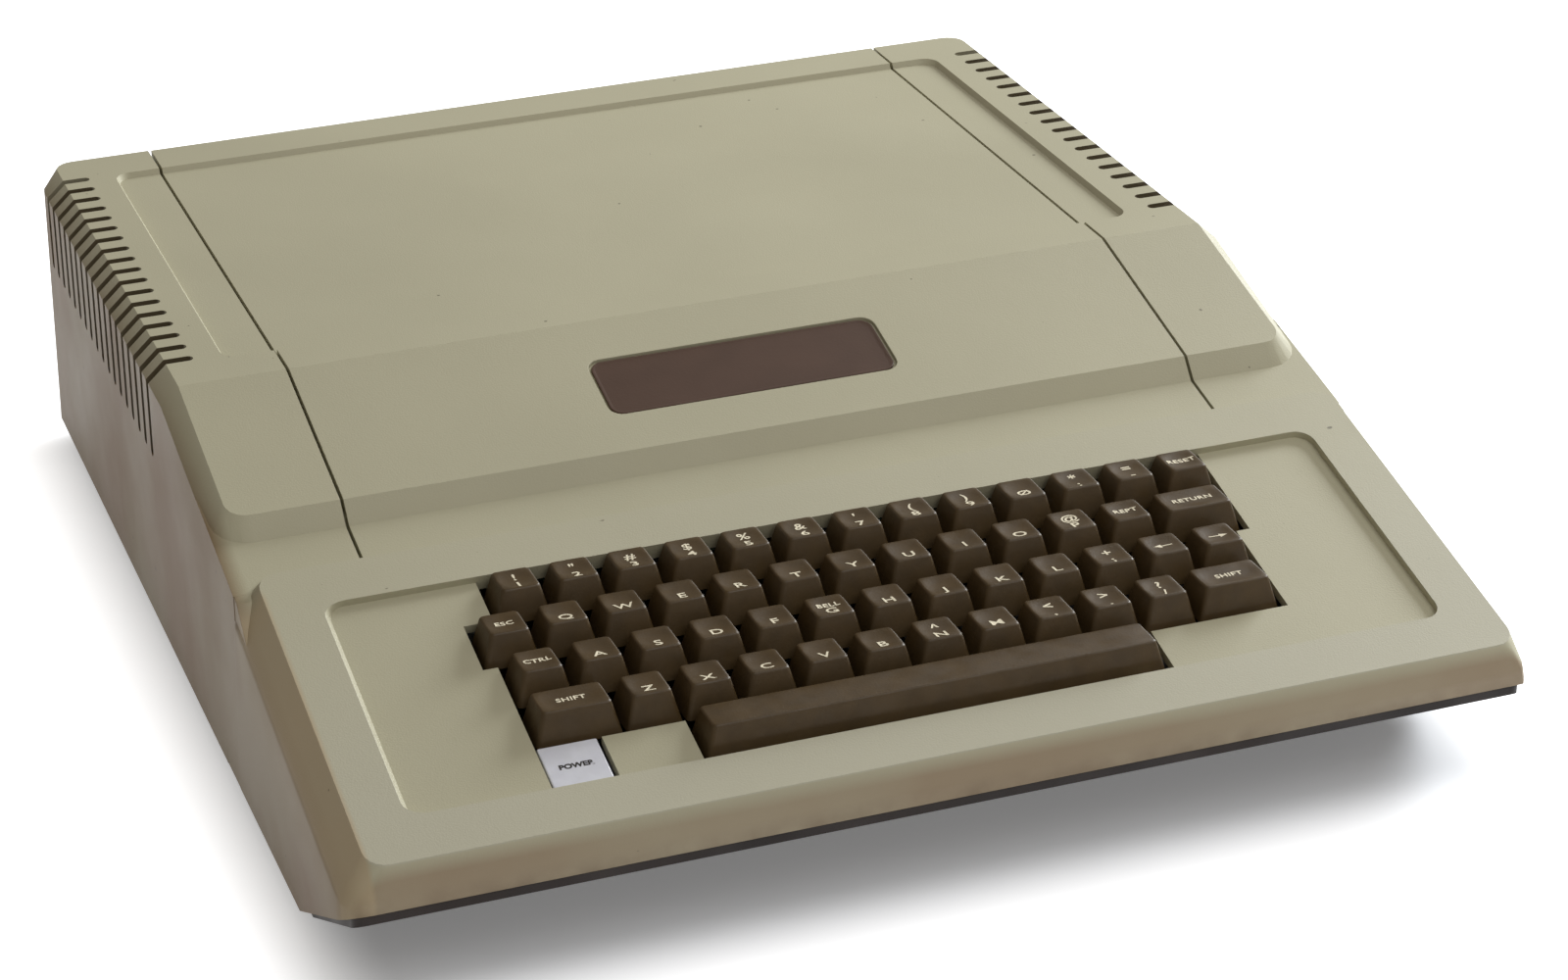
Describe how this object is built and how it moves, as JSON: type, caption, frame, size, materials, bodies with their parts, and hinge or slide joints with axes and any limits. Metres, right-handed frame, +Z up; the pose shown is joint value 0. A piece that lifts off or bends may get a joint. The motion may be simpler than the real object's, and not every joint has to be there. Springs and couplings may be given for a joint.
{
  "type": "vintage home computer",
  "caption": "Wedge-shaped vintage home computer with a sloping built-in keyboard, lift-off lid over its expansion slots, side vents and a boxed power supply.",
  "frame": {"origin": "on the desk, under the middle of the case's outline", "axes": "+X to the typist's right, +Y to the rear, +Z up"},
  "size_m": [0.3874, 0.45, 0.1105],
  "materials": {
    "case_plastic": "fine pebbled, slightly yellowed",
    "pan_metal": "dark satin paint",
    "frame_metal": "dull, with a steel plate beneath the switches",
    "lamp_plastic": "smooth, translucent white",
    "board_laminate": "solder-resist over laminate",
    "supply_metal": "plated sheet steel",
    "switch_plastic": "smooth, black",
    "key_plastic": "satin dark brown, with moulded-in light legends"
  },
  "bodies": {
    "case": {"upper_case": "case_plastic", "base_pan": "pan_metal", "keyboard_frame": "frame_metal", "power_lamp": "lamp_plastic", "logic_board": "board_laminate", "power_supply": "supply_metal"},
    "lid": {"lid": "case_plastic"},
    "rocker": {"power_switch": "switch_plastic"},
    "key_1": {"key_1": "key_plastic"},
    "key_2": {"key_2": "key_plastic"},
    "key_3": {"key_3": "key_plastic"},
    "key_4": {"key_4": "key_plastic"},
    "key_5": {"key_5": "key_plastic"},
    "key_6": {"key_6": "key_plastic"},
    "key_7": {"key_7": "key_plastic"},
    "key_8": {"key_8": "key_plastic"},
    "key_9": {"key_9": "key_plastic"},
    "key_0": {"key_0": "key_plastic"},
    "key_colon": {"key_colon": "key_plastic"},
    "key_minus": {"key_minus": "key_plastic"},
    "key_reset": {"key_reset": "key_plastic"},
    "key_escape": {"key_escape": "key_plastic"},
    "key_q": {"key_q": "key_plastic"},
    "key_w": {"key_w": "key_plastic"},
    "key_e": {"key_e": "key_plastic"},
    "key_r": {"key_r": "key_plastic"},
    "key_t": {"key_t": "key_plastic"},
    "key_y": {"key_y": "key_plastic"},
    "key_u": {"key_u": "key_plastic"},
    "key_i": {"key_i": "key_plastic"},
    "key_o": {"key_o": "key_plastic"},
    "key_p": {"key_p": "key_plastic"},
    "key_repeat": {"key_repeat": "key_plastic"},
    "key_return": {"key_return": "key_plastic"},
    "key_control": {"key_control": "key_plastic"},
    "key_a": {"key_a": "key_plastic"},
    "key_s": {"key_s": "key_plastic"},
    "key_d": {"key_d": "key_plastic"},
    "key_f": {"key_f": "key_plastic"},
    "key_g": {"key_g": "key_plastic"},
    "key_h": {"key_h": "key_plastic"},
    "key_j": {"key_j": "key_plastic"},
    "key_k": {"key_k": "key_plastic"},
    "key_l": {"key_l": "key_plastic"},
    "key_semicolon": {"key_semicolon": "key_plastic"},
    "key_left_arrow": {"key_left_arrow": "key_plastic"},
    "key_right_arrow": {"key_right_arrow": "key_plastic"},
    "key_shift_left": {"key_shift_left": "key_plastic"},
    "key_z": {"key_z": "key_plastic"},
    "key_x": {"key_x": "key_plastic"},
    "key_c": {"key_c": "key_plastic"},
    "key_v": {"key_v": "key_plastic"},
    "key_b": {"key_b": "key_plastic"},
    "key_n": {"key_n": "key_plastic"},
    "key_m": {"key_m": "key_plastic"},
    "key_comma": {"key_comma": "key_plastic"},
    "key_full_stop": {"key_full_stop": "key_plastic"},
    "key_slash": {"key_slash": "key_plastic"},
    "key_shift_right": {"key_shift_right": "key_plastic"},
    "key_space": {"key_space": "key_plastic"}
  },
  "joints": [
    {"name": "lid_lift", "type": "slide", "parent": "case", "child": "lid", "axis": [0, 0, 1], "range_m": [0, 0.2]},
    {"name": "power_rocker", "type": "hinge", "parent": "case", "child": "rocker", "pos_m": [-0.11, 0.215, 0.04825], "axis": [1, 0, 0], "range_deg": [0, 20]},
    {"name": "key_1_press", "type": "slide", "parent": "case", "child": "key_1", "axis": [0, 0.2402, -0.9707], "range_m": [0, 0.0038], "stiffness_N_per_m": 150, "springref_m": -0.002},
    {"name": "key_2_press", "type": "slide", "parent": "case", "child": "key_2", "axis": [0, 0.2402, -0.9707], "range_m": [0, 0.0038], "stiffness_N_per_m": 150, "springref_m": -0.002},
    {"name": "key_3_press", "type": "slide", "parent": "case", "child": "key_3", "axis": [0, 0.2402, -0.9707], "range_m": [0, 0.0038], "stiffness_N_per_m": 150, "springref_m": -0.002},
    {"name": "key_4_press", "type": "slide", "parent": "case", "child": "key_4", "axis": [0, 0.2402, -0.9707], "range_m": [0, 0.0038], "stiffness_N_per_m": 150, "springref_m": -0.002},
    {"name": "key_5_press", "type": "slide", "parent": "case", "child": "key_5", "axis": [0, 0.2402, -0.9707], "range_m": [0, 0.0038], "stiffness_N_per_m": 150, "springref_m": -0.002},
    {"name": "key_6_press", "type": "slide", "parent": "case", "child": "key_6", "axis": [0, 0.2402, -0.9707], "range_m": [0, 0.0038], "stiffness_N_per_m": 150, "springref_m": -0.002},
    {"name": "key_7_press", "type": "slide", "parent": "case", "child": "key_7", "axis": [0, 0.2402, -0.9707], "range_m": [0, 0.0038], "stiffness_N_per_m": 150, "springref_m": -0.002},
    {"name": "key_8_press", "type": "slide", "parent": "case", "child": "key_8", "axis": [0, 0.2402, -0.9707], "range_m": [0, 0.0038], "stiffness_N_per_m": 150, "springref_m": -0.002},
    {"name": "key_9_press", "type": "slide", "parent": "case", "child": "key_9", "axis": [0, 0.2402, -0.9707], "range_m": [0, 0.0038], "stiffness_N_per_m": 150, "springref_m": -0.002},
    {"name": "key_0_press", "type": "slide", "parent": "case", "child": "key_0", "axis": [0, 0.2402, -0.9707], "range_m": [0, 0.0038], "stiffness_N_per_m": 150, "springref_m": -0.002},
    {"name": "key_colon_press", "type": "slide", "parent": "case", "child": "key_colon", "axis": [0, 0.2402, -0.9707], "range_m": [0, 0.0038], "stiffness_N_per_m": 150, "springref_m": -0.002},
    {"name": "key_minus_press", "type": "slide", "parent": "case", "child": "key_minus", "axis": [0, 0.2402, -0.9707], "range_m": [0, 0.0038], "stiffness_N_per_m": 150, "springref_m": -0.002},
    {"name": "key_reset_press", "type": "slide", "parent": "case", "child": "key_reset", "axis": [0, 0.2402, -0.9707], "range_m": [0, 0.0038], "stiffness_N_per_m": 150, "springref_m": -0.002},
    {"name": "key_escape_press", "type": "slide", "parent": "case", "child": "key_escape", "axis": [0, 0.2402, -0.9707], "range_m": [0, 0.0038], "stiffness_N_per_m": 150, "springref_m": -0.002},
    {"name": "key_q_press", "type": "slide", "parent": "case", "child": "key_q", "axis": [0, 0.2402, -0.9707], "range_m": [0, 0.0038], "stiffness_N_per_m": 150, "springref_m": -0.002},
    {"name": "key_w_press", "type": "slide", "parent": "case", "child": "key_w", "axis": [0, 0.2402, -0.9707], "range_m": [0, 0.0038], "stiffness_N_per_m": 150, "springref_m": -0.002},
    {"name": "key_e_press", "type": "slide", "parent": "case", "child": "key_e", "axis": [0, 0.2402, -0.9707], "range_m": [0, 0.0038], "stiffness_N_per_m": 150, "springref_m": -0.002},
    {"name": "key_r_press", "type": "slide", "parent": "case", "child": "key_r", "axis": [0, 0.2402, -0.9707], "range_m": [0, 0.0038], "stiffness_N_per_m": 150, "springref_m": -0.002},
    {"name": "key_t_press", "type": "slide", "parent": "case", "child": "key_t", "axis": [0, 0.2402, -0.9707], "range_m": [0, 0.0038], "stiffness_N_per_m": 150, "springref_m": -0.002},
    {"name": "key_y_press", "type": "slide", "parent": "case", "child": "key_y", "axis": [0, 0.2402, -0.9707], "range_m": [0, 0.0038], "stiffness_N_per_m": 150, "springref_m": -0.002},
    {"name": "key_u_press", "type": "slide", "parent": "case", "child": "key_u", "axis": [0, 0.2402, -0.9707], "range_m": [0, 0.0038], "stiffness_N_per_m": 150, "springref_m": -0.002},
    {"name": "key_i_press", "type": "slide", "parent": "case", "child": "key_i", "axis": [0, 0.2402, -0.9707], "range_m": [0, 0.0038], "stiffness_N_per_m": 150, "springref_m": -0.002},
    {"name": "key_o_press", "type": "slide", "parent": "case", "child": "key_o", "axis": [0, 0.2402, -0.9707], "range_m": [0, 0.0038], "stiffness_N_per_m": 150, "springref_m": -0.002},
    {"name": "key_p_press", "type": "slide", "parent": "case", "child": "key_p", "axis": [0, 0.2402, -0.9707], "range_m": [0, 0.0038], "stiffness_N_per_m": 150, "springref_m": -0.002},
    {"name": "key_repeat_press", "type": "slide", "parent": "case", "child": "key_repeat", "axis": [0, 0.2402, -0.9707], "range_m": [0, 0.0038], "stiffness_N_per_m": 150, "springref_m": -0.002},
    {"name": "key_return_press", "type": "slide", "parent": "case", "child": "key_return", "axis": [0, 0.2402, -0.9707], "range_m": [0, 0.0038], "stiffness_N_per_m": 150, "springref_m": -0.002},
    {"name": "key_control_press", "type": "slide", "parent": "case", "child": "key_control", "axis": [0, 0.2402, -0.9707], "range_m": [0, 0.0038], "stiffness_N_per_m": 150, "springref_m": -0.002},
    {"name": "key_a_press", "type": "slide", "parent": "case", "child": "key_a", "axis": [0, 0.2402, -0.9707], "range_m": [0, 0.0038], "stiffness_N_per_m": 150, "springref_m": -0.002},
    {"name": "key_s_press", "type": "slide", "parent": "case", "child": "key_s", "axis": [0, 0.2402, -0.9707], "range_m": [0, 0.0038], "stiffness_N_per_m": 150, "springref_m": -0.002},
    {"name": "key_d_press", "type": "slide", "parent": "case", "child": "key_d", "axis": [0, 0.2402, -0.9707], "range_m": [0, 0.0038], "stiffness_N_per_m": 150, "springref_m": -0.002},
    {"name": "key_f_press", "type": "slide", "parent": "case", "child": "key_f", "axis": [0, 0.2402, -0.9707], "range_m": [0, 0.0038], "stiffness_N_per_m": 150, "springref_m": -0.002},
    {"name": "key_g_press", "type": "slide", "parent": "case", "child": "key_g", "axis": [0, 0.2402, -0.9707], "range_m": [0, 0.0038], "stiffness_N_per_m": 150, "springref_m": -0.002},
    {"name": "key_h_press", "type": "slide", "parent": "case", "child": "key_h", "axis": [0, 0.2402, -0.9707], "range_m": [0, 0.0038], "stiffness_N_per_m": 150, "springref_m": -0.002},
    {"name": "key_j_press", "type": "slide", "parent": "case", "child": "key_j", "axis": [0, 0.2402, -0.9707], "range_m": [0, 0.0038], "stiffness_N_per_m": 150, "springref_m": -0.002},
    {"name": "key_k_press", "type": "slide", "parent": "case", "child": "key_k", "axis": [0, 0.2402, -0.9707], "range_m": [0, 0.0038], "stiffness_N_per_m": 150, "springref_m": -0.002},
    {"name": "key_l_press", "type": "slide", "parent": "case", "child": "key_l", "axis": [0, 0.2402, -0.9707], "range_m": [0, 0.0038], "stiffness_N_per_m": 150, "springref_m": -0.002},
    {"name": "key_semicolon_press", "type": "slide", "parent": "case", "child": "key_semicolon", "axis": [0, 0.2402, -0.9707], "range_m": [0, 0.0038], "stiffness_N_per_m": 150, "springref_m": -0.002},
    {"name": "key_left_arrow_press", "type": "slide", "parent": "case", "child": "key_left_arrow", "axis": [0, 0.2402, -0.9707], "range_m": [0, 0.0038], "stiffness_N_per_m": 150, "springref_m": -0.002},
    {"name": "key_right_arrow_press", "type": "slide", "parent": "case", "child": "key_right_arrow", "axis": [0, 0.2402, -0.9707], "range_m": [0, 0.0038], "stiffness_N_per_m": 150, "springref_m": -0.002},
    {"name": "key_shift_left_press", "type": "slide", "parent": "case", "child": "key_shift_left", "axis": [0, 0.2402, -0.9707], "range_m": [0, 0.0038], "stiffness_N_per_m": 150, "springref_m": -0.002},
    {"name": "key_z_press", "type": "slide", "parent": "case", "child": "key_z", "axis": [0, 0.2402, -0.9707], "range_m": [0, 0.0038], "stiffness_N_per_m": 150, "springref_m": -0.002},
    {"name": "key_x_press", "type": "slide", "parent": "case", "child": "key_x", "axis": [0, 0.2402, -0.9707], "range_m": [0, 0.0038], "stiffness_N_per_m": 150, "springref_m": -0.002},
    {"name": "key_c_press", "type": "slide", "parent": "case", "child": "key_c", "axis": [0, 0.2402, -0.9707], "range_m": [0, 0.0038], "stiffness_N_per_m": 150, "springref_m": -0.002},
    {"name": "key_v_press", "type": "slide", "parent": "case", "child": "key_v", "axis": [0, 0.2402, -0.9707], "range_m": [0, 0.0038], "stiffness_N_per_m": 150, "springref_m": -0.002},
    {"name": "key_b_press", "type": "slide", "parent": "case", "child": "key_b", "axis": [0, 0.2402, -0.9707], "range_m": [0, 0.0038], "stiffness_N_per_m": 150, "springref_m": -0.002},
    {"name": "key_n_press", "type": "slide", "parent": "case", "child": "key_n", "axis": [0, 0.2402, -0.9707], "range_m": [0, 0.0038], "stiffness_N_per_m": 150, "springref_m": -0.002},
    {"name": "key_m_press", "type": "slide", "parent": "case", "child": "key_m", "axis": [0, 0.2402, -0.9707], "range_m": [0, 0.0038], "stiffness_N_per_m": 150, "springref_m": -0.002},
    {"name": "key_comma_press", "type": "slide", "parent": "case", "child": "key_comma", "axis": [0, 0.2402, -0.9707], "range_m": [0, 0.0038], "stiffness_N_per_m": 150, "springref_m": -0.002},
    {"name": "key_full_stop_press", "type": "slide", "parent": "case", "child": "key_full_stop", "axis": [0, 0.2402, -0.9707], "range_m": [0, 0.0038], "stiffness_N_per_m": 150, "springref_m": -0.002},
    {"name": "key_slash_press", "type": "slide", "parent": "case", "child": "key_slash", "axis": [0, 0.2402, -0.9707], "range_m": [0, 0.0038], "stiffness_N_per_m": 150, "springref_m": -0.002},
    {"name": "key_shift_right_press", "type": "slide", "parent": "case", "child": "key_shift_right", "axis": [0, 0.2402, -0.9707], "range_m": [0, 0.0038], "stiffness_N_per_m": 150, "springref_m": -0.002},
    {"name": "key_space_press", "type": "slide", "parent": "case", "child": "key_space", "axis": [0, 0.2402, -0.9707], "range_m": [0, 0.0038], "stiffness_N_per_m": 150, "springref_m": -0.002}
  ]
}
